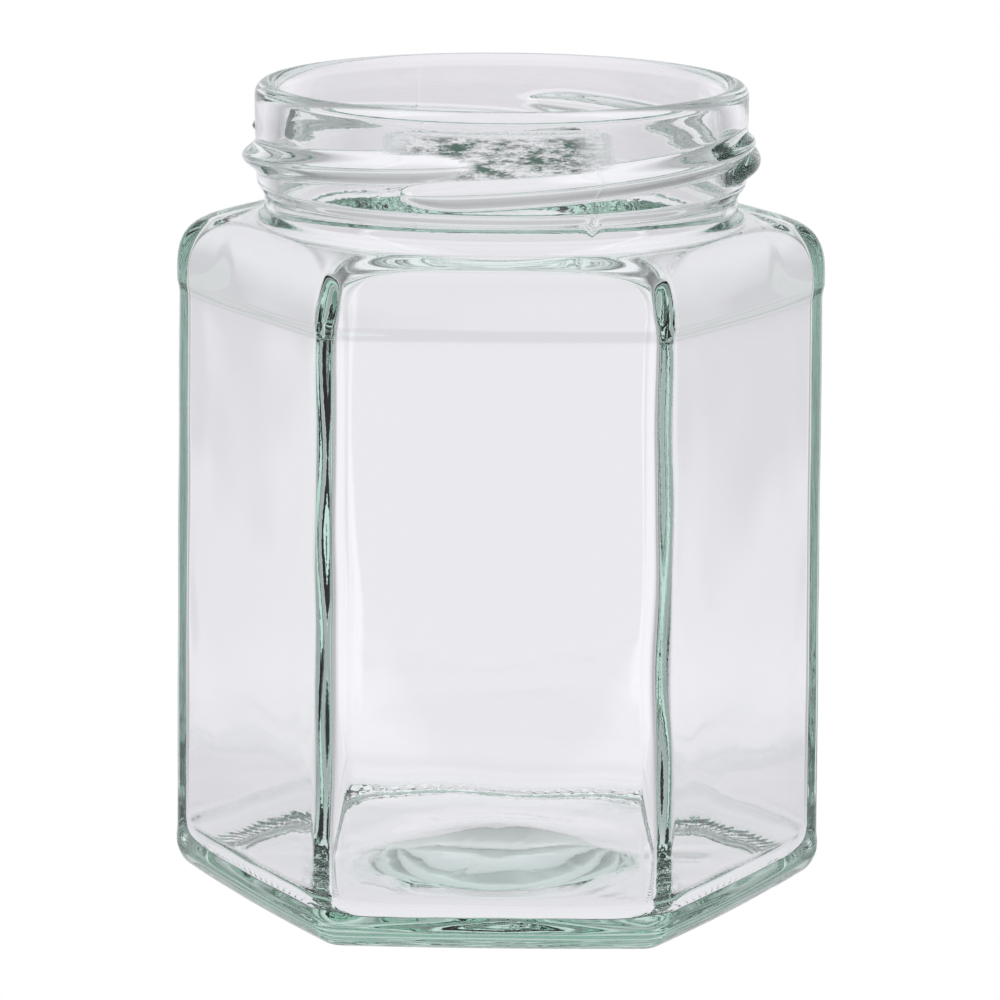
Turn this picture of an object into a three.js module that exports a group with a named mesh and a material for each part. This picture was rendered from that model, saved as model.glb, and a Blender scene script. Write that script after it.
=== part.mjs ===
// A hexagonal glass food jar with a four-lug twist-off finish, in millimetres, +Z up.
// The origin is the centre of the base ring's plane. Two corners of the hexagon lie on the X axis,
// so two of its flat panels face along Y.
//
// The jar is one wall of glass, so it is one closed skin. A profile runs from the centre of the
// underside out over the heel, up the outside, over the lip, down the inside and back to the centre
// of the floor. It is lathed, and each of its rows is then drawn out of the round into a hexagon
// with rounded corners and slightly crowned sides. The rows of the finish and the neck stay round,
// and the lugs are raised on them.

import * as THREE from 'three';
import { mergeVertices } from 'three/addons/utils/BufferGeometryUtils.js';

const HEIGHT = 98.5;

// The outside of the body. An apothem is the distance from the axis to the middle of a panel.
const BODY = {
  apothem: 34.77,
  corner: 4.1,
  crown: 0.6,
  footSpread: 0.57,
  bandProud: 0.27,
  bandBottom: 72.6,
  bandTop: 74.5,
};

// The foot: a small rounded step below the panels, the heel's round, the flat base ring and the
// recess inside it, with a shallow round push-up in its middle.
const FOOT = {
  proud: 0.14,
  stepTop: 5.9,
  heelRadius: 4.04,
  ringWidth: 2.6,
  recess: 0.9,
  recessEdge: 2.0,
  pushUp: 0.3,
  pushRadius: 19.0,
};

// The shoulder rises as a superellipse from the panels' band to the foot of the neck. Its corners
// and its flat sides turn in at rates of their own, which is what rounds the hexagon off.
const SHOULDER = {
  top: 82.3,
  cornerPower: 3.31,
  flatPower: 2.36,
};

// The neck is a waist between the shoulder and the finish.
const NECK = {
  radius: 28.5,
  footFillet: 1.3,
  flareBottom: 84.9,
  flareTop: 86.7,
};

// The finish: the round band that takes the closure, with its rounded lip.
const FINISH = {
  lowerRadius: 29.45,
  upperRadius: 29.62,
  wall: 3.0,
};

// Four right-hand lugs, evenly spaced and overlapping, which climb as they go round.
const LUG = {
  count: 4,
  firstStart: THREE.MathUtils.degToRad(-201),
  span: THREE.MathUtils.degToRad(106),
  endLength: THREE.MathUtils.degToRad(14),
  startHeight: 88.7,
  rise: 3.7,
  proud: 1.65,
  halfWidth: 2.0,
  fullness: 0.8,
  bandBottom: 86.7,
  bandTop: 94.5,
};

// The inside: walls of even thickness, a wide round floor edge and a round dome in the floor.
const INSIDE = {
  panelWall: 3.4,
  cornerRadius: 1.8,
  crown: 0.3,
  shoulderWall: 2.6,
  shoulderBottom: 72.4,
  cornerPower: 3.31,
  flatPower: 1.9,
  boreAtNeck: 26.9,
  neckFillet: 2.5,
  floorEdge: 3.1,
  floorEdgeRadius: 3.6,
  floorCorner: 10.0,
  floorRim: 3.2,
  floorCentre: 6.0,
  domeRadius: 20.0,
};

const QUARTER_TURN = Math.PI / 2;
const HALF_SECTOR = Math.PI / 6;
const SECTOR = Math.PI / 3;
const CORNER_REACH = 1 / Math.cos(HALF_SECTOR);
const LEAST_CROWN = 0.001;
const LEAST_ROUNDING = 0.001;
const SAME_POINT = 0.001;

// Angles of one sector's columns from its corner, closer together where the corner turns.
const COLUMN_OFFSETS = [-21.5, -14, -8.5, -5, -2.5, 0, 2.5, 5, 8.5, 14, 21.5, 30];
const COLUMNS = 6 * COLUMN_OFFSETS.length;

/** Angle of a column of the skin, counted anticlockwise from the first column of the +X corner. */
function columnAngle(column) {
  const perSector = COLUMN_OFFSETS.length;
  const sector = Math.floor(column / perSector);
  return sector * SECTOR + THREE.MathUtils.degToRad(COLUMN_OFFSETS[column % perSector]);
}

/** Evenly spaced fractions from 0 to 1, without the first where it is the row before. */
function fractions(steps, withFirst = false) {
  const all = Array.from({ length: steps + 1 }, (_, index) => index / steps);
  return withFirst ? all : all.slice(1);
}

/** A row of the profile with a hexagonal section. */
function hexRow(z, apothem, corner, crown) {
  return { z, apothem, corner, crown, lugs: false };
}

/** A row of the profile with a round section. */
function roundRow(z, radius, lugs = false) {
  return { z, apothem: radius, corner: radius, crown: 0, lugs };
}

/** Distance from the axis to a row's outline, for a rounded hexagon whose sides are flat arcs. */
function sectionRadius(row, angle) {
  const toCorner = Math.abs(THREE.MathUtils.euclideanModulo(angle + HALF_SECTOR, SECTOR) - HALF_SECTOR);
  const toPanel = HALF_SECTOR - toCorner;
  const crown = Math.max(row.crown, LEAST_CROWN);
  const halfSide = row.apothem * Math.tan(HALF_SECTOR);
  const sideRadius = Math.max(halfSide ** 2 / (2 * crown) + crown / 2, row.apothem);
  const behind = sideRadius - row.apothem;
  const reachToSide = sideRadius - row.corner;
  const cornerCentre = Math.sqrt(Math.max(reachToSide ** 2 - (behind / 2) ** 2, 0))
    - behind * Math.cos(HALF_SECTOR);
  const alongJoin = (cornerCentre + behind * Math.cos(HALF_SECTOR)) / reachToSide;
  const acrossJoin = behind / 2 / reachToSide;
  const joinX = sideRadius * alongJoin - behind * Math.cos(HALF_SECTOR);
  const joinY = sideRadius * acrossJoin - behind / 2;
  if (toCorner > Math.abs(Math.atan2(joinY, joinX))) {
    const across = behind * Math.sin(toPanel);
    return Math.sqrt(sideRadius ** 2 - across ** 2) - behind * Math.cos(toPanel);
  }
  const across = cornerCentre * Math.sin(toCorner);
  return cornerCentre * Math.cos(toCorner) + Math.sqrt(Math.max(row.corner ** 2 - across ** 2, 0));
}

/** How far the lugs stand out of the finish at one angle and height. */
function lugRelief(angle, z) {
  let relief = 0;
  for (let lug = 0; lug < LUG.count; lug += 1) {
    const start = LUG.firstStart + (lug * 2 * Math.PI) / LUG.count;
    const along = THREE.MathUtils.euclideanModulo(angle - start, 2 * Math.PI);
    if (along < LUG.span) {
      const toEnd = Math.min(along, LUG.span - along) / LUG.endLength;
      const rounding = Math.sqrt(1 - (1 - Math.min(toEnd, 1)) ** 2);
      const middle = LUG.startHeight + (LUG.rise * along) / LUG.span;
      const across = Math.abs(z - middle) / (LUG.halfWidth * Math.max(rounding, LEAST_ROUNDING));
      if (across < 1) {
        const ridge = Math.cos(across * QUARTER_TURN) ** (2 * LUG.fullness);
        relief = Math.max(relief, LUG.proud * rounding * ridge);
      }
    }
  }
  return relief;
}

/** The underside from its centre out: the push-up, the level recess, its edge and the base ring. */
function undersideRows() {
  const apothem = BODY.apothem + BODY.footSpread + FOOT.proud - FOOT.heelRadius;
  const corner = BODY.corner + FOOT.proud - FOOT.heelRadius;
  const ringApothem = apothem - FOOT.ringWidth;
  const ringCorner = corner + FOOT.ringWidth;
  const dome = fractions(4, true).map((fraction) => {
    const lift = (FOOT.pushUp * (1 + Math.cos(Math.PI * fraction))) / 2;
    return roundRow(FOOT.recess + lift, FOOT.pushRadius * fraction);
  });
  const edge = fractions(3, true).map((fraction) => {
    const reach = ringApothem - FOOT.recessEdge * (1 - fraction);
    const share = (reach - FOOT.pushRadius) / (ringApothem - FOOT.pushRadius);
    const z = FOOT.recess * (1 - THREE.MathUtils.smoothstep(fraction, 0, 1));
    return hexRow(z, reach, THREE.MathUtils.lerp(reach, ringCorner, share), BODY.crown * share);
  });
  return [...dome, ...edge, hexRow(0, apothem, corner, BODY.crown)];
}

/** The heel's round, the foot's step and the long panels, which narrow a little as they rise. */
function bodyRows() {
  const foot = BODY.apothem + BODY.footSpread;
  const rows = fractions(5).map((fraction) => {
    const inset = FOOT.heelRadius * (1 - Math.sin(fraction * QUARTER_TURN));
    const z = FOOT.heelRadius * (1 - Math.cos(fraction * QUARTER_TURN));
    return hexRow(z, foot + FOOT.proud - inset, BODY.corner + FOOT.proud - inset, BODY.crown);
  });
  const bandCorner = BODY.corner + BODY.bandProud;
  return [
    ...rows,
    hexRow(FOOT.stepTop, foot, BODY.corner, BODY.crown),
    hexRow(BODY.bandBottom, BODY.apothem, BODY.corner, BODY.crown),
    hexRow(BODY.bandTop, BODY.apothem + BODY.bandProud, bandCorner, BODY.crown),
  ];
}

/**
 * A shoulder between a hexagonal row and a round neck's foot, from below upwards. The reach of its
 * corners and the apothem of its sides each follow a quarter of a superellipse, with a power of its
 * own from the shape.
 */
function shoulderRows(start, shape, topZ, neckFoot, steps) {
  const startReach = (start.apothem - start.corner) * CORNER_REACH + start.corner;
  const fullDepth = start.apothem - start.corner;
  return fractions(steps).map((fraction) => {
    const turn = fraction * QUARTER_TURN;
    const rise = Math.sin(turn) ** (2 / shape.cornerPower);
    const reach = neckFoot + (startReach - neckFoot) * Math.cos(turn) ** (2 / shape.cornerPower);
    const fall = Math.max(1 - rise ** shape.flatPower, 0) ** (1 / shape.flatPower);
    const apothem = neckFoot + (start.apothem - neckFoot) * fall;
    const corner = THREE.MathUtils.clamp(
      (CORNER_REACH * apothem - reach) / (CORNER_REACH - 1), start.corner / 2, apothem);
    const crown = start.crown * Math.min((apothem - corner) / fullDepth, 1);
    return hexRow(start.z + (topZ - start.z) * rise, apothem, corner, crown);
  });
}

/** A quarter-round fillet from a level shoulder at a given height up into a round neck. */
function filletRows(shoulderZ, neckRadius, fillet, steps) {
  return fractions(steps).map((fraction) => {
    const turn = fraction * QUARTER_TURN;
    return roundRow(shoulderZ + fillet * (1 - Math.cos(turn)), neckRadius + fillet * (1 - Math.sin(turn)));
  });
}

/** The outside from the neck's waist up to the lip, with the rows that carry the lugs. */
function finishRows() {
  const flare = fractions(3, true).map((fraction) => {
    const ease = THREE.MathUtils.smoothstep(fraction, 0, 1);
    const z = THREE.MathUtils.lerp(NECK.flareBottom, NECK.flareTop, fraction);
    return roundRow(z, THREE.MathUtils.lerp(NECK.radius, FINISH.lowerRadius, ease));
  });
  const lugBand = fractions(12).map((fraction) => {
    const radius = THREE.MathUtils.lerp(FINISH.lowerRadius, FINISH.upperRadius, fraction);
    return roundRow(THREE.MathUtils.lerp(LUG.bandBottom, LUG.bandTop, fraction), radius, true);
  });
  return [...flare, ...lugBand];
}

/** The lip: half a round over the top of the finish wall. */
function lipRows() {
  const lipRadius = FINISH.wall / 2;
  const middle = FINISH.upperRadius - lipRadius;
  return fractions(6, true).map((fraction) => {
    const turn = fraction * Math.PI;
    return roundRow(HEIGHT - lipRadius + lipRadius * Math.sin(turn), middle + lipRadius * Math.cos(turn));
  });
}

/** The bore, the inside of the shoulder, the inner walls and the floor, from the top down. */
function insideRows() {
  const apothem = BODY.apothem - INSIDE.panelWall;
  const start = hexRow(INSIDE.shoulderBottom, apothem, INSIDE.cornerRadius, INSIDE.crown);
  const ceiling = SHOULDER.top - INSIDE.shoulderWall;
  const neckFoot = INSIDE.boreAtNeck + INSIDE.neckFillet;
  const shoulder = shoulderRows(start, INSIDE, ceiling, neckFoot, 8);
  const fillet = filletRows(ceiling, INSIDE.boreAtNeck, INSIDE.neckFillet, 3);

  const wallBottom = INSIDE.floorEdge + INSIDE.floorEdgeRadius;
  const lowApothem = apothem + BODY.footSpread;
  const edge = fractions(4, true).map((fraction) => {
    const turn = fraction * QUARTER_TURN;
    const inset = INSIDE.floorEdgeRadius * (1 - Math.cos(turn));
    const z = wallBottom - INSIDE.floorEdgeRadius * Math.sin(turn);
    const corner = THREE.MathUtils.lerp(INSIDE.cornerRadius, INSIDE.floorCorner, 1 - Math.cos(turn));
    return hexRow(z, lowApothem - inset, corner, INSIDE.crown);
  });
  const rimStart = edge[edge.length - 1].apothem;
  const rim = fractions(3).map((fraction) => {
    const reach = THREE.MathUtils.lerp(rimStart, INSIDE.domeRadius, fraction);
    const z = THREE.MathUtils.lerp(INSIDE.floorEdge, INSIDE.floorRim, fraction ** 2);
    const corner = THREE.MathUtils.lerp(INSIDE.floorCorner, reach, fraction);
    return hexRow(z, reach, corner, INSIDE.crown * (1 - fraction));
  });
  const dome = fractions(5).map((fraction) => {
    const lift = (1 - Math.cos(Math.PI * fraction)) / 2;
    const z = THREE.MathUtils.lerp(INSIDE.floorRim, INSIDE.floorCentre, lift);
    return roundRow(z, INSIDE.domeRadius * (1 - fraction));
  });
  return [...fillet.reverse(), ...shoulder.reverse(), start, ...edge, ...rim, ...dome];
}

/** All rows of the jar's skin, from the centre of the underside to the centre of the floor. */
function jarRows() {
  const body = bodyRows();
  const band = body[body.length - 1];
  const shoulder = shoulderRows(band, SHOULDER, SHOULDER.top, NECK.radius + NECK.footFillet, 9);
  const fillet = filletRows(SHOULDER.top, NECK.radius, NECK.footFillet, 3);
  const outside = [...undersideRows(), ...body, ...shoulder, ...fillet];
  return [...outside, ...finishRows(), ...lipRows(), ...insideRows()];
}

/** Lathes the rows as circles, then moves each vertex out to its row's own section. */
function jarGeometry() {
  const rows = jarRows();
  const profile = rows.map((row) => new THREE.Vector2(row.apothem, row.z));
  const lathe = new THREE.LatheGeometry(profile, COLUMNS);
  const position = lathe.getAttribute('position');
  for (let vertex = 0; vertex < position.count; vertex += 1) {
    const row = rows[vertex % rows.length];
    const angle = columnAngle(Math.floor(vertex / rows.length));
    const relief = row.lugs ? lugRelief(angle, row.z) : 0;
    const radius = row.apothem > 0 ? sectionRadius(row, angle) + relief : 0;
    position.setXYZ(vertex, radius * Math.cos(angle), radius * Math.sin(angle), row.z);
  }
  lathe.deleteAttribute('normal');
  lathe.deleteAttribute('uv');
  const geometry = mergeVertices(lathe, SAME_POINT);
  geometry.computeVertexNormals();
  return geometry;
}

const glass = new THREE.MeshStandardMaterial({
  color: 0xdfe8e4,
  roughness: 0.05,
  metalness: 0,
  transparent: true,
  opacity: 0.35,
});

const jar = new THREE.Mesh(jarGeometry(), glass);
jar.name = 'jar';

const model = new THREE.Group();
model.add(jar);

export default model;
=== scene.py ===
"""Looks of a hexagonal glass food jar with a four-lug twist-off finish.

The jar is one wall of clear glass with a faint green tint that shows only where light runs a long
way through it. Its skin is one closed surface over the angle round the axis and the place along a
profile, which runs from the centre of the underside out over the heel, up the outside, over the
lip, down the inside and back to the centre of the floor. Lengths are in millimetres until the mesh
is written, which is in metres.
"""

import logging
import math
from dataclasses import dataclass, field
from enum import Enum

import bpy
import numpy as np
from mathutils import Matrix

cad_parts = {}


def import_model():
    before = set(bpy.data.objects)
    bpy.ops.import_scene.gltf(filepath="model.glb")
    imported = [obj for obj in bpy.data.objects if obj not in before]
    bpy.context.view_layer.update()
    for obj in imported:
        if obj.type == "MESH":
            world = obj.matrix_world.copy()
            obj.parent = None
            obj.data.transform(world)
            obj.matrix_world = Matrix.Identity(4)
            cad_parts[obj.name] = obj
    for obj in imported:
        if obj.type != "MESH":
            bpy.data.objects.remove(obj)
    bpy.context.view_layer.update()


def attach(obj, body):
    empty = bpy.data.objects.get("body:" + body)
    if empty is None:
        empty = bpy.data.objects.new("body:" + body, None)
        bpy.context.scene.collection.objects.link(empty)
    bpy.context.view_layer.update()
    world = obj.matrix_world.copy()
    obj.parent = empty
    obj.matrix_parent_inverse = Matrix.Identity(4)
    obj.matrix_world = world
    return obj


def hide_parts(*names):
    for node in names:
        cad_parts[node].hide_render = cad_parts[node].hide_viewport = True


LOG = logging.getLogger("jar")
MM = 0.001
PHOTO_WIDTH_PX = 1000
QUARTER = math.pi / 2
SECTOR = math.pi / 3
HALF_SECTOR = math.pi / 6
REACH = 1 / math.cos(HALF_SECTOR)
FLAT_CROWN = 0.001
SMALL = 1e-9
DISPLAY = "Standard"
BOUNCES = 20
GLOSS_BOUNCES = 16

Tree = bpy.types.NodeTree
Socket = bpy.types.NodeSocket
Colour = tuple[float, float, float]
Stops = tuple[tuple[float, float], ...]
Measure = float | np.ndarray


class Slot(Enum):
    """The record's material slots."""

    CLEAR_GLASS = "clear_glass"


class Zone(Enum):
    """What relief a row of the skin carries."""

    UNDERSIDE = 0
    OUTSIDE = 1
    FINISH = 2
    BORE = 3
    INSIDE = 4
    FLOOR = 5


def fractions(steps: int, with_first: bool = False) -> np.ndarray:
    """Evenly spaced fractions from 0 to 1.

    Args:
        steps: number of steps.
        with_first: keeps the 0, which is left out where it is the row before.

    Returns:
        The fractions.
    """
    return np.linspace(0.0, 1.0, steps + 1)[0 if with_first else 1:]


def smoothstep(value: np.ndarray) -> np.ndarray:
    """Eases 0 to 1 with level ends: three squares less two cubes."""
    held = np.clip(value, 0.0, 1.0)
    return held * held * (3 - 2 * held)


def arithmetic(tree: Tree, operation: str, *values: Socket | float) -> Socket:
    """One step of arithmetic.

    Args:
        tree: the node tree to build in.
        operation: the name of the step.
        values: sockets or plain numbers, in order.

    Returns:
        The result's socket.
    """
    node = tree.nodes.new("ShaderNodeMath")
    node.operation = operation
    for socket, value in zip(node.inputs, values):
        if isinstance(value, Socket):
            tree.links.new(value, socket)
        else:
            socket.default_value = value
    return node.outputs[0]


def through_stops(tree: Tree, value: Socket, stops: Stops) -> Socket:
    """A number that runs straight between stops and is level outside them.

    Args:
        tree: the node tree to build in.
        value: what the stops are places on.
        stops: pairs of a place and a number, two or more.

    Returns:
        The number's socket. Past two stops it comes from a grey ramp that holds each number's share of
        the way from the least to the greatest.
    """
    places, numbers = zip(*stops)
    least, span = min(numbers), max(numbers) - min(numbers)
    along = tree.nodes.new("ShaderNodeMapRange")
    tree.links.new(value, along.inputs[0])
    for index, number in enumerate((places[0], places[-1]), 1):
        along.inputs[index].default_value = number
    if len(stops) == 2:
        for index, number in enumerate(numbers, 3):
            along.inputs[index].default_value = number
        return along.outputs[0]
    ramp = tree.nodes.new("ShaderNodeValToRGB")
    tree.links.new(along.outputs[0], ramp.inputs[0])
    marks = ramp.color_ramp.elements
    for place in places[1:-1]:
        marks.new((place - places[0]) / (places[-1] - places[0]))
    for mark, number in zip(marks, numbers):
        mark.color = (*((number - least) / span,) * 3, 1)
    return arithmetic(tree, "MULTIPLY_ADD", ramp.outputs[0], span, least)


def blended(tree: Tree, share: Socket, first: Socket | Colour, second: Socket | Colour) -> Socket:
    """A colour between two others.

    Args:
        tree: the node tree to build in.
        share: 0 for the first colour and 1 for the second.
        first: a colour, or the socket that gives it.
        second: the same for the other colour.

    Returns:
        The colour's socket.
    """
    mix = tree.nodes.new("ShaderNodeMix")
    mix.data_type = "RGBA"
    tree.links.new(share, mix.inputs[0])
    sides = [socket for socket in mix.inputs if socket.type == "RGBA"]
    for socket, value in zip(sides, (first, second)):
        if isinstance(value, Socket):
            tree.links.new(value, socket)
        else:
            socket.default_value = (*value, 1)
    return next(socket for socket in mix.outputs if socket.type == "RGBA")


@dataclass(frozen=True)
class Ripples:
    """Smooth unevenness: a seeded sum of level waves, with slopes alike at every length."""

    height: float
    shortest: float
    longest: float
    seed: int
    stretch: tuple[float, float, float] = (1.0, 1.0, 1.0)
    count: int = 28

    def heights(self, points: np.ndarray) -> np.ndarray:
        """The unevenness at given points.

        Each wave is a cosine of the point's place along a random way, and its height goes with its
        length. The sum is scaled so that its typical height is the one asked for.

        Args:
            points: places in millimetres, with x, y and z along the last axis.

        Returns:
            The heights, in millimetres.
        """
        rng = np.random.default_rng(self.seed)
        ways = rng.normal(size=(self.count, 3))
        ways /= np.linalg.norm(ways, axis=1, keepdims=True)
        lengths = self.shortest * (self.longest / self.shortest) ** rng.random(self.count)
        waves = ways * (2 * math.pi / lengths[:, None]) / np.array(self.stretch)
        starts = rng.random(self.count) * 2 * math.pi
        flat = points.reshape(-1, 3) @ waves.T + starts
        total = (np.cos(flat) * lengths).sum(axis=1) / math.sqrt((lengths**2).sum() / 2)
        return (total * self.height).reshape(points.shape[:-1])


@dataclass
class Rows:
    """Rows of the skin, from its start on.

    Each row is a rounded hexagon with crowned sides, given by its height, the apothem of its sides,
    the radius of its corners and the crown of its sides. Where the corner radius equals the
    apothem, it is a circle.
    """

    z: np.ndarray
    apothem: np.ndarray
    corner: np.ndarray
    crown: np.ndarray
    zone: np.ndarray

    @classmethod
    def hexagonal(cls, z: Measure, apothem: Measure, corner: Measure, crown: Measure, zone: Zone) -> "Rows":
        """Rows with a rounded hexagon for their section.

        Args:
            z: heights.
            apothem: apothems.
            corner: corner radii.
            crown: crowns of the sides.
            zone: the relief that they carry.

        Returns:
            The rows.
        """
        sizes = (np.atleast_1d(np.asarray(size, float)) for size in (z, apothem, corner, crown))
        columns = np.broadcast_arrays(*sizes)
        return cls(*(np.array(column) for column in columns), np.full(len(columns[0]), zone.value))

    @classmethod
    def circular(cls, z: Measure, radius: Measure, zone: Zone) -> "Rows":
        """Rows with a round section.

        Args:
            z: heights.
            radius: radii.
            zone: the relief that they carry.

        Returns:
            The rows.
        """
        return cls.hexagonal(z, radius, radius, 0.0, zone)

    @classmethod
    def joined(cls, *parts: "Rows") -> "Rows":
        """One run of rows from several, in their order."""
        names = ("z", "apothem", "corner", "crown", "zone")
        return cls(*(np.concatenate([getattr(part, name) for part in parts]) for name in names))

    def reversed(self) -> "Rows":
        """The same rows from last to first."""
        return Rows(self.z[::-1], self.apothem[::-1], self.corner[::-1], self.crown[::-1], self.zone[::-1])

    def radius(self, angle: np.ndarray) -> np.ndarray:
        """Distance from the axis to the outline of each row.

        A side is an arc that is high in its middle by the crown: its radius is half the side
        squared over twice the crown, plus half the crown. A corner is an arc that touches two
        sides from inside. The angle of the point where they touch says which of them is met.

        Args:
            angle: angles round the axis, in radians.

        Returns:
            An array of rows by angles.
        """
        to_corner = np.abs(np.mod(angle + HALF_SECTOR, SECTOR) - HALF_SECTOR)[None, :]
        to_panel = HALF_SECTOR - to_corner
        apothem, corner = self.apothem[:, None], self.corner[:, None]
        crown = np.maximum(self.crown, FLAT_CROWN)[:, None]
        half_side = apothem * math.tan(HALF_SECTOR)
        side = np.maximum(half_side**2 / (2 * crown) + crown / 2, apothem)
        behind = side - apothem
        to_side = np.maximum(side - corner, SMALL)
        centre = np.sqrt(np.maximum(to_side**2 - (behind / 2) ** 2, 0)) - behind * math.cos(HALF_SECTOR)
        join_x = side * (centre + behind * math.cos(HALF_SECTOR)) / to_side - behind * math.cos(HALF_SECTOR)
        join_y = side * behind / 2 / to_side - behind / 2
        on_side = np.sqrt(side**2 - (behind * np.sin(to_panel)) ** 2) - behind * np.cos(to_panel)
        on_corner = centre * np.cos(to_corner) + np.sqrt(
            np.maximum(corner**2 - (centre * np.sin(to_corner)) ** 2, 0)
        )
        return np.where(to_corner > np.abs(np.arctan2(join_y, join_x)), on_side, on_corner)


@dataclass(frozen=True)
class Foot:
    """The small step below the panels, the heel's round, the base ring and the push-up."""

    proud: float = 0.14
    step_top: float = 5.9
    heel_radius: float = 4.04
    ring_width: float = 2.6
    recess: float = 0.9
    recess_edge: float = 2.0
    push_up: float = 0.3
    push_radius: float = 19.0
    dome_rows: int = 16
    rim_rows: int = 14
    ring_rows: int = 3
    heel_rows: int = 16
    step_rows: int = 5

    def underside(self, body: "Body") -> Rows:
        """The push-up, from the centre out, its level rim, the edge down and the flat base ring.

        The round push-up's height falls off as half a cosine, and the edge of the rim is an S of
        a level and a level.

        Args:
            body: the body above the foot.

        Returns:
            The rows.
        """
        apothem = body.foot_apothem + self.proud - self.heel_radius
        corner = body.corner + self.proud - self.heel_radius
        out = fractions(self.dome_rows, True)
        rise = self.push_up * (1 + np.cos(math.pi * out)) / 2
        dome = Rows.circular(self.recess + rise, self.push_radius * out, Zone.UNDERSIDE)
        outer = apothem - self.ring_width
        on = fractions(self.rim_rows)
        reach = self.push_radius + (outer - self.push_radius) * on
        edge = smoothstep((outer - reach) / self.recess_edge)
        rounding = reach + (corner + self.ring_width - reach) * on
        rim = Rows.hexagonal(self.recess * edge, reach, rounding, body.crown * on, Zone.UNDERSIDE)
        across = fractions(self.ring_rows)
        ring = Rows.hexagonal(
            0.0,
            apothem - self.ring_width * (1 - across),
            corner + self.ring_width * (1 - across),
            body.crown,
            Zone.UNDERSIDE,
        )
        return Rows.joined(dome, rim, ring)

    def heel(self, body: "Body") -> Rows:
        """The heel's quarter round and the step in to the panels.

        Args:
            body: the body above the foot.

        Returns:
            The rows.
        """
        turn = fractions(self.heel_rows) * QUARTER
        inset = self.heel_radius * (1 - np.sin(turn))
        z = self.heel_radius * (1 - np.cos(turn))
        apothem = body.foot_apothem + self.proud - inset
        heel = Rows.hexagonal(z, apothem, body.corner + self.proud - inset, body.crown, Zone.OUTSIDE)
        up = fractions(self.step_rows)
        ease = self.proud * (1 - smoothstep(up))
        step = Rows.hexagonal(
            self.heel_radius + (self.step_top - self.heel_radius) * up,
            body.foot_apothem + ease,
            body.corner + ease,
            body.crown,
            Zone.OUTSIDE,
        )
        return Rows.joined(heel, step)


@dataclass(frozen=True)
class Body:
    """The six long panels, which narrow a little as they rise, and the band above them."""

    apothem: float = 34.77
    corner: float = 4.1
    crown: float = 0.6
    foot_spread: float = 0.57
    band_proud: float = 0.27
    band_bottom: float = 72.6
    band_top: float = 74.5
    panel_rows: int = 24
    band_rows: int = 6

    @property
    def foot_apothem(self) -> float:
        """Apothem of the panels at the foot."""
        return self.apothem + self.foot_spread

    def panels(self, start_z: float) -> Rows:
        """The panels and the step out to the band.

        Args:
            start_z: height of the foot's top.

        Returns:
            The rows.
        """
        up = fractions(self.panel_rows)
        panels = Rows.hexagonal(
            start_z + (self.band_bottom - start_z) * up,
            self.foot_apothem - self.foot_spread * up,
            self.corner,
            self.crown,
            Zone.OUTSIDE,
        )
        step = fractions(self.band_rows)
        ease = self.band_proud * smoothstep(step)
        z = self.band_bottom + (self.band_top - self.band_bottom) * step
        band = Rows.hexagonal(z, self.apothem + ease, self.corner + ease, self.crown, Zone.OUTSIDE)
        return Rows.joined(panels, band)


@dataclass(frozen=True)
class Shoulder:
    """The rounded shoulder, where the hexagon turns into the round neck."""

    top: float = 82.3
    corner_power: float = 3.31
    flat_power: float = 2.36
    steps: int = 28

    def rows(self, start: Rows, neck_foot: float, zone: Zone) -> Rows:
        """A shoulder from a hexagonal row up to a round neck's foot.

        The reach of its corners and the apothem of its sides each follow a quarter of a
        superellipse with a power of its own, and the corner radius is what both ask for.

        Args:
            start: the rows below, of which the last one counts.
            neck_foot: radius of the neck's foot.
            zone: the relief that they carry.

        Returns:
            The rows.
        """
        last = (column[-1] for column in (start.z, start.apothem, start.corner, start.crown))
        z, apothem, corner, crown = map(float, last)
        start_reach = (apothem - corner) * REACH + corner
        turn = fractions(self.steps) * QUARTER
        rise = np.sin(turn) ** (2 / self.corner_power)
        reach = neck_foot + (start_reach - neck_foot) * np.cos(turn) ** (2 / self.corner_power)
        fall = np.maximum(1 - rise**self.flat_power, 0) ** (1 / self.flat_power)
        side = neck_foot + (apothem - neck_foot) * fall
        rounding = np.clip((REACH * side - reach) / (REACH - 1), corner / 2, side)
        bulge = crown * np.minimum((side - rounding) / (apothem - corner), 1)
        return Rows.hexagonal(z + (self.top - z) * rise, side, rounding, bulge, zone)


@dataclass(frozen=True)
class Neck:
    """The waist between the shoulder and the finish."""

    radius: float = 28.5
    foot_fillet: float = 1.3
    flare_bottom: float = 84.9
    flare_top: float = 86.7
    fillet_rows: int = 8
    flare_rows: int = 14

    def fillet(self, base: float, radius: float, size: float, steps: int, zone: Zone) -> Rows:
        """A quarter round from a level shoulder up into a round neck.

        Args:
            base: height of the shoulder's top.
            radius: radius of the neck.
            size: radius of the round.
            steps: number of rows.
            zone: the relief that they carry.

        Returns:
            The rows.
        """
        turn = fractions(steps) * QUARTER
        return Rows.circular(base + size * (1 - np.cos(turn)), radius + size * (1 - np.sin(turn)), zone)

    def foot(self, base: float) -> Rows:
        """The fillet at the neck's own foot, over a shoulder with its top at the base."""
        return self.fillet(base, self.radius, self.foot_fillet, self.fillet_rows, Zone.OUTSIDE)

    def flare(self, finish_radius: float) -> Rows:
        """The waist and its smooth flare to the finish over it.

        Args:
            finish_radius: radius of the finish at its foot.

        Returns:
            The rows.
        """
        up = fractions(self.flare_rows, True)
        z = self.flare_bottom + (self.flare_top - self.flare_bottom) * up
        return Rows.circular(z, self.radius + (finish_radius - self.radius) * smoothstep(up), Zone.FINISH)


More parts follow.
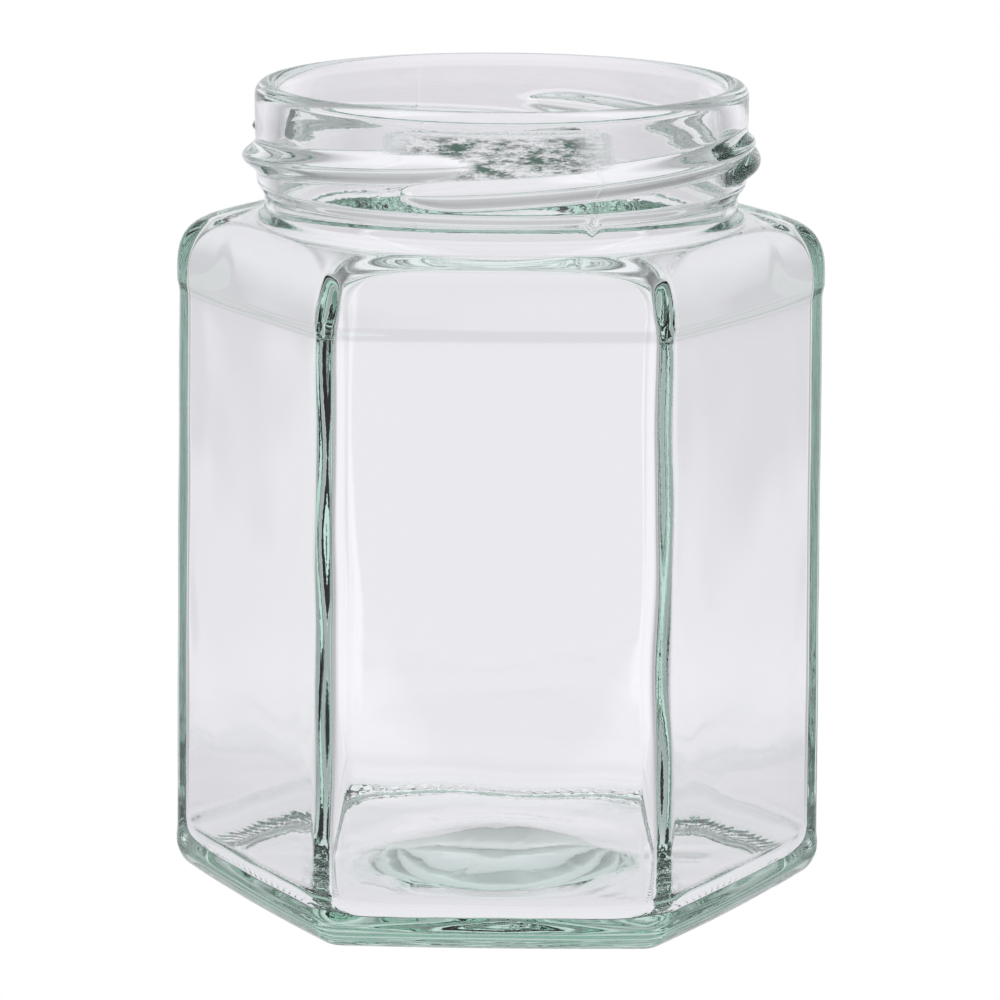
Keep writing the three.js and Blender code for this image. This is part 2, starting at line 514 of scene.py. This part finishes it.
@dataclass(frozen=True)
class Lugs:
    """Four right-hand lugs, evenly spaced and overlapping, which climb as they go round."""

    count: int = 4
    first_start: float = math.radians(-201)
    span: float = math.radians(106)
    end_length: float = math.radians(14)
    start_height: float = 88.7
    rise: float = 3.7
    proud: float = 1.65
    half_width: float = 2.0
    fullness: float = 0.8
    least_rounding: float = 0.001

    def relief(self, angle: np.ndarray, z: np.ndarray) -> np.ndarray:
        """How far the lugs stand out of the finish.

        A lug's ridge is a power of a cosine across it. Its height and width are rounded off at both
        ends as a quarter of a circle.

        Args:
            angle: angles round the axis, as one row.
            z: heights, as one column.

        Returns:
            The relief, rows by angles.
        """
        highest = np.zeros(np.broadcast(angle, z).shape)
        for lug in range(self.count):
            along = np.mod(angle - self.first_start - lug * 2 * math.pi / self.count, 2 * math.pi)
            to_end = np.clip(np.minimum(along, self.span - along) / self.end_length, 0, 1)
            rounding = np.sqrt(1 - (1 - to_end) ** 2)
            middle = self.start_height + self.rise * along / self.span
            half_width = self.half_width * np.maximum(rounding, self.least_rounding)
            across = np.minimum(np.abs(z - middle) / half_width, 1)
            ridge = np.cos(across * QUARTER) ** (2 * self.fullness)
            highest = np.maximum(highest, np.where(along < self.span, self.proud * rounding * ridge, 0))
        return highest


@dataclass(frozen=True)
class Finish:
    """The round band that takes the closure, with its rounded lip."""

    height: float = 98.5
    lower_radius: float = 29.45
    upper_radius: float = 29.62
    wall: float = 3.0
    band_bottom: float = 86.7
    band_top: float = 94.5
    band_rows: int = 46
    plain_rows: int = 5
    lip_rows: int = 18

    def rows(self) -> Rows:
        """The lugs' band, the plain band above it and the lip, half a round over the wall.

        Returns:
            The rows.
        """
        up = fractions(self.band_rows)
        band = Rows.circular(
            self.band_bottom + (self.band_top - self.band_bottom) * up,
            self.lower_radius + (self.upper_radius - self.lower_radius) * up,
            Zone.FINISH,
        )
        lip = self.wall / 2
        plain = Rows.circular(
            self.band_top + (self.height - lip - self.band_top) * fractions(self.plain_rows)[:-1],
            self.upper_radius,
            Zone.FINISH,
        )
        turn = fractions(self.lip_rows, True) * math.pi
        z = self.height - lip + lip * np.sin(turn)
        over = Rows.circular(z, self.upper_radius - lip + lip * np.cos(turn), Zone.BORE)
        return Rows.joined(band, plain, over)


@dataclass(frozen=True)
class Inside:
    """The bore, the inside of the shoulder, the inner walls, the round floor edge and the floor."""

    panel_wall: float = 3.4
    corner_radius: float = 1.8
    crown: float = 0.3
    shoulder_wall: float = 2.6
    shoulder_bottom: float = 72.4
    corner_power: float = 3.31
    flat_power: float = 1.9
    bore_at_neck: float = 26.9
    neck_fillet: float = 2.5
    floor_edge: float = 3.1
    floor_edge_radius: float = 3.6
    floor_corner: float = 10.0
    floor_rim: float = 3.2
    floor_centre: float = 6.0
    dome_radius: float = 20.0
    fillet_rows: int = 7
    vault_rows: int = 26
    wall_rows: int = 24
    edge_rows: int = 14
    rim_rows: int = 10
    dome_rows: int = 20

    def rows(self, body: Body, shoulder: Shoulder, neck: Neck) -> Rows:
        """The inside, from the bore down to the centre of the floor.

        Args:
            body: the body round it.
            shoulder: the shoulder over it.
            neck: the neck, for the shape of its fillet.

        Returns:
            The rows.
        """
        apothem = body.apothem - self.panel_wall
        start = Rows.hexagonal(self.shoulder_bottom, apothem, self.corner_radius, self.crown, Zone.INSIDE)
        ceiling = shoulder.top - self.shoulder_wall
        inner = Shoulder(ceiling, self.corner_power, self.flat_power, self.vault_rows)
        vault = inner.rows(start, self.bore_at_neck + self.neck_fillet, Zone.INSIDE)
        fillet = neck.fillet(ceiling, self.bore_at_neck, self.neck_fillet, self.fillet_rows, Zone.BORE)

        wall_bottom = self.floor_edge + self.floor_edge_radius
        down = fractions(self.wall_rows)[:-1]
        wall = Rows.hexagonal(
            self.shoulder_bottom + (wall_bottom - self.shoulder_bottom) * down,
            apothem + body.foot_spread * down,
            self.corner_radius,
            self.crown,
            Zone.INSIDE,
        )
        turn = fractions(self.edge_rows, True) * QUARTER
        inset = self.floor_edge_radius * (1 - np.cos(turn))
        edge = Rows.hexagonal(
            wall_bottom - self.floor_edge_radius * np.sin(turn),
            apothem + body.foot_spread - inset,
            self.corner_radius + (self.floor_corner - self.corner_radius) * (1 - np.cos(turn)),
            self.crown,
            Zone.INSIDE,
        )
        inwards = fractions(self.rim_rows)
        reach = edge.apothem[-1] + (self.dome_radius - edge.apothem[-1]) * inwards
        rim = Rows.hexagonal(
            self.floor_edge + (self.floor_rim - self.floor_edge) * inwards**2,
            reach,
            self.floor_corner + (reach - self.floor_corner) * inwards,
            self.crown * (1 - inwards),
            Zone.FLOOR,
        )
        upwards = fractions(self.dome_rows)
        dome = Rows.circular(
            self.floor_rim + (self.floor_centre - self.floor_rim) * (1 - np.cos(math.pi * upwards)) / 2,
            self.dome_radius * (1 - upwards),
            Zone.FLOOR,
        )
        return Rows.joined(fillet.reversed(), vault.reversed(), start, wall, edge, rim, dome)


@dataclass(frozen=True)
class Ease:
    """A soft step from 0 to 1 over a stretch, in millimetres."""

    start: float
    length: float

    def share(self, place: np.ndarray) -> np.ndarray:
        """The step at each place, with level ends."""
        return smoothstep((place - self.start) / self.length)


@dataclass(frozen=True)
class Unevenness:
    """How far the pressed and blown glass strays from its true form, in millimetres."""

    outer: Ripples = Ripples(0.012, 8.0, 30.0, 11)
    outer_corner: Ripples = Ripples(0.02, 5.0, 16.0, 12, (1.0, 1.0, 1.6))
    heel: Ripples = Ripples(0.012, 2.0, 5.0, 13, (7.0, 7.0, 1.0))
    inner: Ripples = Ripples(0.04, 10.0, 34.0, 14)
    inner_corner: Ripples = Ripples(0.07, 5.0, 16.0, 15, (1.0, 1.0, 2.2))
    inner_floor: Ripples = Ripples(0.014, 4.0, 12.0, 16)
    finish: Ripples = Ripples(0.012, 3.0, 9.0, 17, (2.0, 2.0, 1.0))
    corner_reach: float = math.radians(13)
    seam: float = math.radians(-67.5)
    seam_height: float = 0.07
    seam_width: float = 0.22
    parting: float = 85.15
    parting_height: float = 0.06
    parting_width: float = 0.16
    notch_height: float = 0.3
    notch_size: float = 0.55
    notch_rise: float = 0.3
    finish_radius: float = 29.5
    seam_end: Ease = Ease(95.0, 2.0)
    seam_columns: tuple[float, ...] = (-3.0, -1.8, -1.0, -0.5, 0.0, 0.5, 1.0, 1.8, 3.0)
    outer_start: Ease = Ease(0.0, 5.0)
    outer_end: Ease = Ease(79.0, 4.0)
    heel_start: Ease = Ease(0.0, 2.5)
    heel_end: Ease = Ease(4.0, 3.0)
    inner_end: Ease = Ease(72.0, 8.0)
    floor_end: Ease = Ease(4.0, 6.0)
    corner_start: Ease = Ease(0.0, 25.0)
    finish_start: Ease = Ease(84.9, 1.5)
    highest_wave: float = 2.2

    def seam_offsets(self) -> np.ndarray:
        """Angles beside a seam at which the skin needs columns of its own."""
        return np.array(self.seam_columns) * self.seam_width / self.finish_radius

    def offsets(self, points: np.ndarray, zone: np.ndarray, angle: np.ndarray) -> np.ndarray:
        """How far each point of the skin moves out of the glass.

        The outer skin only ever moves in, and keeps its place at the base ring. A seam and the
        parting line under the finish are ridges with a bell-shaped section, and the notch is a
        bell-shaped bump where they meet.

        Args:
            points: the points of the true form, rows by angles.
            zone: the zone of each row.
            angle: the angle of each column.

        Returns:
            The offsets, rows by angles.
        """
        z = points[..., 2]
        to_corner = np.abs(np.mod(angle + HALF_SECTOR, SECTOR) - HALF_SECTOR)[None, :]
        corner = smoothstep(1 - to_corner / self.corner_reach)
        total = np.zeros_like(z)

        outside = (zone == Zone.OUTSIDE.value)[:, None] & np.ones_like(corner, bool)
        place = points[outside]
        height = place[:, 2]
        held = self.outer_start.share(height) * (1 - self.outer_end.share(height))
        at_corner = np.broadcast_to(corner, z.shape)[outside]
        low = self.heel_start.share(height) * (1 - self.heel_end.share(height))
        waves = held * (self.outer.heights(place) + at_corner * self.outer_corner.heights(place))
        waves += low * self.heel.heights(place)
        typical = self.outer.height + at_corner * self.outer_corner.height + low * self.heel.height
        total[outside] = waves - np.maximum(held, low) * self.highest_wave * typical

        inside = np.isin(zone, (Zone.INSIDE.value, Zone.FLOOR.value))[:, None] & np.ones_like(corner, bool)
        place = points[inside]
        held = 1 - self.inner_end.share(place[:, 2])
        at_corner = np.broadcast_to(corner, z.shape)[inside]
        at_corner = at_corner * self.corner_start.share(np.hypot(place[:, 0], place[:, 1]))
        floor = 1 - self.floor_end.share(place[:, 2])
        waves = self.inner.heights(place) + at_corner * self.inner_corner.heights(place)
        total[inside] = held * (waves + floor * self.inner_floor.heights(place))

        finish = (zone == Zone.FINISH.value)[:, None] & np.ones_like(corner, bool)
        place = points[finish]
        total[finish] = self.finish_start.share(place[:, 2]) * self.finish.heights(place)
        total += self.ridges(z, angle) * finish
        return total

    def ridges(self, z: np.ndarray, angle: np.ndarray) -> np.ndarray:
        """The two seams, the parting line and the notch, over the finish.

        Args:
            z: heights of the points, rows by angles.
            angle: the angle of each column.

        Returns:
            Their relief, rows by angles.
        """
        beside = np.mod(angle - self.seam + QUARTER, math.pi) - QUARTER
        across = beside[None, :] * self.finish_radius
        bell = np.exp(-((across / self.seam_width) ** 2))
        seams = self.seam_height * bell * (1 - self.seam_end.share(z))
        parting = self.parting_height * np.exp(-(((z - self.parting) / self.parting_width) ** 2))
        above = z - self.parting - self.notch_rise
        at_seam = (across / self.notch_size) ** 2 + (above / self.notch_size) ** 2
        return seams + parting + self.notch_height * np.exp(-at_seam)


class Place(Enum):
    """Names of the places that the skin marks for its glass."""

    # The patch places both the wrinkles' bump and the painted shade in the glass's colour.
    PATCH = "chilled_patch"
    RING = "foot_ring"


@dataclass(frozen=True)
class ChillAndPaintedShade:
    """Where the glass has wrinkles from a chilled mould in its relief and painted shade in its colour, as
    stops in millimetres and degrees.
    """

    up: Stops = ((90.3, 0.0), (91.2, 1.0), (95.4, 1.0), (96.1, 0.0))
    round_front: Stops = ((0.0, 1.0), (17.0, 1.0), (27.0, 0.0))
    out: Stops = ((28.6, 0.0), (28.8, 1.0), (29.75, 1.0), (29.95, 0.0))

    def share(self, points: np.ndarray) -> np.ndarray:
        """How strong the patch is at each point.

        It is the product of three numbers that run straight between stops: by the height, by the
        angle in degrees off the front, and by the distance from the axis, which leaves out the lugs.

        Args:
            points: places on the skin, in millimetres.

        Returns:
            Numbers from 0 to 1.
        """
        off_front = np.degrees(np.abs(np.arctan2(points[..., 0], -points[..., 1])))
        reach = np.hypot(points[..., 0], points[..., 1])
        pairs = ((points[..., 2], self.up), (off_front, self.round_front), (reach, self.out))
        return np.prod([np.interp(value, *zip(*stops)) for value, stops in pairs], axis=0)


@dataclass(frozen=True)
class ClearGlass:
    """Clear soda-lime glass: a faint green tint in its depth, a fine orange peel on its skin, and painted
    shade as dark green grains in its colour on a patch at the front of the finish.
    """

    index: float = 1.52
    roughness: float = 0.0
    tint: Colour = (0.46, 0.81, 0.66)
    density: float = 12.5
    grain_roughness: float = 0.85
    peel_length: float = 0.0008
    peel_stretch: tuple[float, float, float] = (0.7, 0.7, 1.5)
    peel_height: float = 0.000002
    peel_detail: float = 1.0
    # One noise gives both the bump of the patch's wrinkles and the grains of painted shade in its colour.
    wrinkle_and_shade_length: float = 0.0012
    wrinkle_and_shade_stretch: tuple[float, float, float] = (0.4, 0.4, 1.5)
    wrinkle_height: float = 0.0008
    wrinkle_and_shade_detail: float = 4.0
    clear: Colour = (1.0, 1.0, 1.0)
    # Painted shade: the dark green laid into the glass's colour on the patch, and the stops of the noise
    # where it shows, standing in for shade seen through the finish.
    painted_shade_colour: Colour = (0.012, 0.04, 0.024)
    painted_shade_stops: Stops = ((0.40, 0.0), (0.57, 1.0))
    knurls: int = 132
    knurl_height: float = 0.00002

    def grain(
        self, tree: Tree, length: float, stretch: tuple[float, float, float], detail: float
    ) -> Socket:
        """Noise on the jar's own coordinates.

        Args:
            tree: the material's node tree.
            length: the size of the largest grain, in metres.
            stretch: how much shorter the grain is along each axis.
            detail: how many finer layers are laid over it.

        Returns:
            The noise's socket, about 0.5 on average.
        """
        place = tree.nodes.new("ShaderNodeTexCoord").outputs["Object"]
        scaled = tree.nodes.new("ShaderNodeVectorMath")
        scaled.operation = "MULTIPLY"
        scaled.inputs[1].default_value = stretch
        noise = tree.nodes.new("ShaderNodeTexNoise")
        noise.inputs["Scale"].default_value = 1 / length
        noise.inputs["Detail"].default_value = detail
        noise.inputs["Roughness"].default_value = self.grain_roughness
        tree.links.new(place, scaled.inputs[0])
        tree.links.new(scaled.outputs[0], noise.inputs["Vector"])
        return noise.outputs["Fac"]

    def skin(self, tree: Tree) -> tuple[Socket, Socket]:
        """The fine relief, and the painted shade on the wrinkled patch at the front of the finish.

        The relief is the orange peel, the wrinkles of the patch and the knurls of the foot ring, which
        are a sine of the angle round the axis. The skin itself says where the patch and the ring are.

        Args:
            tree: the material's node tree.

        Returns:
            The relief's height in metres, and how strong the painted shade is, from 0 to 1.
        """
        patch, ring = (tree.nodes.new("ShaderNodeAttribute") for _ in range(2))
        patch.attribute_name, ring.attribute_name = Place.PATCH.value, Place.RING.value
        apart = tree.nodes.new("ShaderNodeSeparateXYZ")
        tree.links.new(tree.nodes.new("ShaderNodeTexCoord").outputs["Object"], apart.inputs[0])
        wrinkles = self.grain(tree, self.wrinkle_and_shade_length, self.wrinkle_and_shade_stretch, self.wrinkle_and_shade_detail)
        # Painted shade: where the noise passes its stops on the patch, the grains turn dark in the glass's
        # colour.
        dark = through_stops(tree, wrinkles, self.painted_shade_stops)
        marks = arithmetic(tree, "MULTIPLY", dark, patch.outputs["Fac"])
        pores = self.grain(tree, self.peel_length, self.peel_stretch, self.peel_detail)
        peel = arithmetic(tree, "MULTIPLY", pores, self.peel_height)
        folds = arithmetic(tree, "MULTIPLY", wrinkles, self.wrinkle_height)
        folded = arithmetic(tree, "MULTIPLY_ADD", folds, patch.outputs["Fac"], peel)
        turn = arithmetic(tree, "ARCTAN2", apart.outputs["X"], apart.outputs["Y"])
        teeth = arithmetic(tree, "SINE", arithmetic(tree, "MULTIPLY", turn, float(self.knurls)))
        knurl = arithmetic(tree, "MULTIPLY", teeth, self.knurl_height)
        return arithmetic(tree, "MULTIPLY_ADD", knurl, ring.outputs["Fac"], folded), marks

    def material(self) -> bpy.types.Material:
        """The glass: a clear refracting surface round an absorbing body.

        Returns:
            The material.
        """
        made = bpy.data.materials.new("clear_glass")
        made.use_nodes = True
        tree = made.node_tree
        nodes, links = tree.nodes, tree.links
        shader = nodes["Principled BSDF"]
        shader.inputs["Roughness"].default_value = self.roughness
        shader.inputs["IOR"].default_value = self.index
        shader.inputs["Transmission Weight"].default_value = 1.0
        bump = nodes.new("ShaderNodeBump")
        bump.inputs["Strength"].default_value = 1.0
        bump.inputs["Distance"].default_value = 1.0
        height, marks = self.skin(tree)
        links.new(height, bump.inputs["Height"])
        links.new(bump.outputs["Normal"], shader.inputs["Normal"])
        # The base colour carries the painted shade of the patch: dark green grains standing in for shade.
        links.new(blended(tree, marks, self.clear, self.painted_shade_colour), shader.inputs["Base Color"])
        depth = nodes.new("ShaderNodeVolumeAbsorption")
        depth.inputs["Color"].default_value = (*self.tint, 1)
        depth.inputs["Density"].default_value = self.density
        links.new(depth.outputs["Volume"], nodes["Material Output"].inputs["Volume"])
        return made


@dataclass
class Jar:
    """The jar: every part of its skin, drawn as one closed mesh, and its glass."""

    body: Body = field(default_factory=Body)
    foot: Foot = field(default_factory=Foot)
    shoulder: Shoulder = field(default_factory=Shoulder)
    neck: Neck = field(default_factory=Neck)
    finish: Finish = field(default_factory=Finish)
    lugs: Lugs = field(default_factory=Lugs)
    inside: Inside = field(default_factory=Inside)
    uneven: Unevenness = field(default_factory=Unevenness)
    chill_and_shade: ChillAndPaintedShade = field(default_factory=ChillAndPaintedShade)
    glass: ClearGlass = field(default_factory=ClearGlass)
    ring_up: Stops = ((0.1, 1.0), (0.5, 0.0))
    columns_per_sector: int = 50
    even_share: float = 0.2
    crowding: float = 2.2

    def angles(self) -> np.ndarray:
        """Angles of the skin's columns, which crowd together at the corners.

        Within a sector the angle from its corner is a mix of an even spacing and a power of it. The
        two seams get columns of their own.

        Returns:
            The angles, in radians.
        """
        place = np.arange(self.columns_per_sector) / self.columns_per_sector * 2 - 1
        spread = self.even_share * np.abs(place) + (1 - self.even_share) * np.abs(place) ** self.crowding
        offsets = np.sign(place) * spread * HALF_SECTOR
        even = (np.arange(6)[:, None] * SECTOR + offsets[None, :]).ravel()
        beside = self.uneven.seam_offsets() + self.uneven.seam
        return np.sort(np.mod(np.concatenate([even, beside, beside + math.pi]), 2 * math.pi))

    def rows(self) -> Rows:
        """Every row of the skin, from the centre of the underside to the centre of the floor.

        Returns:
            The rows.
        """
        panels = self.body.panels(self.foot.step_top)
        neck_foot = self.neck.radius + self.neck.foot_fillet
        return Rows.joined(
            self.foot.underside(self.body),
            self.foot.heel(self.body),
            panels,
            self.shoulder.rows(panels, neck_foot, Zone.OUTSIDE),
            self.neck.foot(self.shoulder.top),
            self.neck.flare(self.finish.lower_radius),
            self.finish.rows(),
            self.inside.rows(self.body, self.shoulder, self.neck),
        )

    def outwards(self, grid: np.ndarray) -> np.ndarray:
        """The way out of the glass at each point of the skin.

        It is the cross product of the way to the next column and the way to the next row.

        Args:
            grid: the points, rows by angles.

        Returns:
            Vectors of length one.
        """
        along = np.roll(grid, -1, axis=1) - np.roll(grid, 1, axis=1)
        normal = np.cross(along, np.gradient(grid, axis=0))
        return normal / np.linalg.norm(normal, axis=-1, keepdims=True)

    def build(self) -> bpy.types.Object:
        """Makes the closed mesh, smooth all over.

        The first and the last row are single points on the axis, joined to their neighbours by
        fans, and all other rows are joined by quads that face out of the glass.

        Returns:
            The mesh object, at the origin.
        """
        rows, angle = self.rows(), self.angles()
        radius = rows.radius(angle)
        lugged = rows.zone == Zone.FINISH.value
        radius[lugged] += self.lugs.relief(angle[None, :], rows.z[lugged, None])
        height = np.broadcast_to(rows.z[:, None], radius.shape)
        grid = np.stack([radius * np.cos(angle), radius * np.sin(angle), height], axis=-1)[1:-1]
        grid += self.outwards(grid) * self.uneven.offsets(grid, rows.zone[1:-1], angle)[..., None]
        count, columns = grid.shape[:2]
        ends = np.array([[0, 0, rows.z[0]], [0, 0, rows.z[-1]]])
        points = np.concatenate([grid.reshape(-1, 3), ends])

        index = np.arange(count * columns).reshape(count, columns)
        right = np.roll(index, -1, axis=1)
        quads = np.stack([index[:-1], right[:-1], right[1:], index[1:]], axis=-1).reshape(-1, 4)
        low, high = count * columns, count * columns + 1
        under = np.stack([np.full(columns, low), right[0], index[0]], axis=-1)
        over = np.stack([index[-1], right[-1], np.full(columns, high)], axis=-1)
        mesh = bpy.data.meshes.new("jar_glass")
        mesh.from_pydata((points * MM).tolist(), [], quads.tolist() + under.tolist() + over.tolist())
        on_ring = np.interp(points[:, 2], *zip(*self.ring_up))
        # The patch share marks both the wrinkles' bump and the painted shade in the glass's colour.
        for place, shares in ((Place.PATCH, self.chill_and_shade.share(points)), (Place.RING, on_ring)):
            mesh.attributes.new(place.value, "FLOAT", "POINT").data.foreach_set("value", shares)
        mesh.polygons.foreach_set("use_smooth", np.ones(len(mesh.polygons), bool))
        mesh.update()
        piece = bpy.data.objects.new("jar_glass", mesh)
        bpy.context.scene.collection.objects.link(piece)
        return piece

    def dress(self, piece: bpy.types.Object) -> None:
        """Gives the piece its glass and its place in the frame.

        Args:
            piece: the jar's mesh object.
        """
        piece.data.materials.append(self.glass.material())
        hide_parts("jar")
        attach(piece, "root")


@dataclass(frozen=True)
class Studio:
    """A pale floor under soft light, a dim wall round it, and a wide soft light above.

    The floor and the room look plain white. As light for the glass, the floor is even near the jar
    and falls off far from it, the wall above it gets dim, and the ceiling is bright again. Off to
    both sides low down, dark cards give the edges of the glass their contrast.
    """

    floor_radius: float = 4.0
    floor_corners: int = 96
    floor_drop: float = 0.00002
    seen: Colour = (1.0, 1.0, 1.0)
    floor_light: Colour = (0.87, 0.84, 0.89)
    floor_stops: Stops = ((0.38, 1.0), (0.52, 0.97), (0.78, 0.86), (1.6, 0.86))
    room_light: Colour = (1.0, 1.0, 1.03)
    room_stops: Stops = (
        (0.0, 0.82), (9.0, 0.78), (15.0, 0.58), (25.0, 0.46), (31.0, 0.30), (38.0, 0.20),
        (46.0, 0.6), (54.0, 0.9), (90.0, 0.95),
    )
    card_stops: Stops = (
        (0.0, 1.0), (8.0, 1.0), (13.0, 1.16), (28.0, 1.16), (48.0, 0.65), (78.0, 0.5),
        (105.0, 0.55), (130.0, 0.95),
    )
    card_on_floor: Stops = ((0.03, 0.0), (0.10, 1.0))
    card_in_room: Stops = ((20.0, 1.0), (38.0, 0.0))

    def carded(self, tree: Tree, way: Socket, share: Socket, held: Socket) -> Socket:
        """A share of the light, cut down by the dark cards at the sides.

        Args:
            tree: the node tree to build in.
            way: a vector from the jar.
            share: the share without the cards.
            held: how far the cards reach there, from 0 to 1.

        Returns:
            The share times one less what the cards take, by the turn away from straight behind.
        """
        apart = tree.nodes.new("ShaderNodeSeparateXYZ")
        tree.links.new(way, apart.inputs[0])
        turn = arithmetic(tree, "ARCTAN2", apart.outputs["X"], apart.outputs["Y"])
        degrees = arithmetic(tree, "DEGREES", arithmetic(tree, "ABSOLUTE", turn))
        card = through_stops(tree, degrees, self.card_stops)
        left = arithmetic(tree, "MULTIPLY_ADD", arithmetic(tree, "SUBTRACT", card, 1.0), held, 1.0)
        return arithmetic(tree, "MULTIPLY", share, left)

    def two_lights(self, tree: Tree, light: Colour, share: Socket) -> Socket:
        """White where the floor or the room is looked at, and its own tone as light.

        Args:
            tree: the node tree to build in.
            light: colour of the light that it gives.
            share: how much of it is given.

        Returns:
            The colour's socket.
        """
        tone = tree.nodes.new("ShaderNodeVectorMath")
        tone.operation = "SCALE"
        tone.inputs[0].default_value = light
        tree.links.new(share, tone.inputs["Scale"])
        path = tree.nodes.new("ShaderNodeLightPath")
        return blended(tree, path.outputs["Is Camera Ray"], tone.outputs[0], self.seen)

    def floor(self) -> bpy.types.Object:
        """The floor, a round plane just under the jar.

        Returns:
            The floor's object.
        """
        turn = fractions(self.floor_corners, True)[:-1] * 2 * math.pi
        reach = self.floor_radius
        drop = np.full_like(turn, -self.floor_drop)
        ring = np.stack([np.cos(turn) * reach, np.sin(turn) * reach, drop], axis=-1)
        mesh = bpy.data.meshes.new("floor")
        mesh.from_pydata(ring.tolist(), [], [list(range(len(turn)))])
        piece = bpy.data.objects.new("floor", mesh)
        bpy.context.scene.collection.objects.link(piece)
        made = bpy.data.materials.new("pale_floor")
        made.use_nodes = True
        tree = made.node_tree
        tree.nodes.clear()
        out = tree.nodes.new("ShaderNodeOutputMaterial")
        glow = tree.nodes.new("ShaderNodeEmission")
        place = tree.nodes.new("ShaderNodeTexCoord").outputs["Object"]
        length = tree.nodes.new("ShaderNodeVectorMath")
        length.operation = "LENGTH"
        tree.links.new(place, length.inputs[0])
        far = length.outputs["Value"]
        held = through_stops(tree, far, self.card_on_floor)
        share = self.carded(tree, place, through_stops(tree, far, self.floor_stops), held)
        tree.links.new(self.two_lights(tree, self.floor_light, share), glow.inputs["Color"])
        tree.links.new(glow.outputs["Emission"], out.inputs["Surface"])
        mesh.materials.append(made)
        return piece

    def room(self) -> None:
        """The surroundings above the floor, by the height in degrees above the horizon."""
        world = bpy.data.worlds.new("room")
        world.use_nodes = True
        tree = world.node_tree
        way = tree.nodes.new("ShaderNodeTexCoord").outputs["Generated"]
        apart = tree.nodes.new("ShaderNodeSeparateXYZ")
        tree.links.new(way, apart.inputs[0])
        degrees = arithmetic(tree, "DEGREES", arithmetic(tree, "ARCSINE", apart.outputs["Z"]))
        held = through_stops(tree, degrees, self.card_in_room)
        share = self.carded(tree, way, through_stops(tree, degrees, self.room_stops), held)
        light = self.two_lights(tree, self.room_light, share)
        tree.links.new(light, tree.nodes["Background"].inputs["Color"])
        bpy.context.scene.world = world

    def tone(self) -> None:
        """Plain display tones, and enough bounces for light that runs along inside the glass."""
        scene = bpy.context.scene
        scene.view_settings.view_transform = DISPLAY
        scene.cycles.max_bounces = BOUNCES
        scene.cycles.transmission_bounces = BOUNCES
        scene.cycles.glossy_bounces = GLOSS_BOUNCES
        scene.cycles.transparent_max_bounces = GLOSS_BOUNCES

    def build(self) -> None:
        """Sets up the floor, the room and the display tones."""
        self.floor()
        self.room()
        self.tone()


@dataclass(frozen=True)
class Viewpoint:
    """The camera: a long lens that looks down a little on the jar."""

    place: tuple[float, float, float] = (0.569, -582.46, 172.43)
    turn_deg: float = 0.767
    pitch_deg: float = 12.143
    yaw_deg: float = -0.043
    roll_deg: float = 0.422
    focal_px: float = 4880.5
    sensor: float = 36.0
    nearest: float = 0.01
    farthest: float = 20.0

    def build(self) -> bpy.types.Object:
        """Makes the camera and sets it as the scene's.

        Its axes are turned down by the pitch, aside by the yaw and about the view by the roll, and
        the whole is then turned about the jar's axis.

        Returns:
            The camera.
        """
        pitch, yaw, roll = (math.radians(v) for v in (self.pitch_deg, self.yaw_deg, self.roll_deg))
        east = np.array([1.0, 0, 0])
        ahead = np.array([0, math.cos(pitch), -math.sin(pitch)])
        up = np.array([0, math.sin(pitch), math.cos(pitch)])
        forward = math.sin(yaw) * east + math.cos(yaw) * ahead
        right = math.cos(yaw) * east - math.sin(yaw) * ahead
        rolled_right = math.cos(roll) * right + math.sin(roll) * up
        rolled_up = math.cos(roll) * up - math.sin(roll) * right
        matrix = Matrix.Identity(4)
        for column, axis in enumerate((rolled_right, rolled_up, -forward, np.array(self.place) * MM)):
            for line in range(3):
                matrix[line][column] = float(axis[line])
        data = bpy.data.cameras.new("camera")
        data.sensor_width = self.sensor
        data.lens = self.focal_px / PHOTO_WIDTH_PX * self.sensor
        data.clip_start, data.clip_end = self.nearest, self.farthest
        camera = bpy.data.objects.new("camera", data)
        bpy.context.scene.collection.objects.link(camera)
        camera.matrix_world = Matrix.Rotation(math.radians(self.turn_deg), 4, "Z") @ matrix
        bpy.context.scene.camera = camera
        return camera


def main() -> None:
    """Builds the view, the studio and the jar, in that order, and reports each."""
    logging.basicConfig(level=logging.INFO, format="%(name)s: %(message)s")
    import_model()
    Viewpoint().build()
    Studio().build()
    LOG.info("studio and camera are set")
    jar = Jar()
    piece = jar.build()
    jar.dress(piece)
    mesh = piece.data
    LOG.info("%s has %d vertices and %d faces", piece.name, len(mesh.vertices), len(mesh.polygons))


if __name__ == "__main__":
    main()
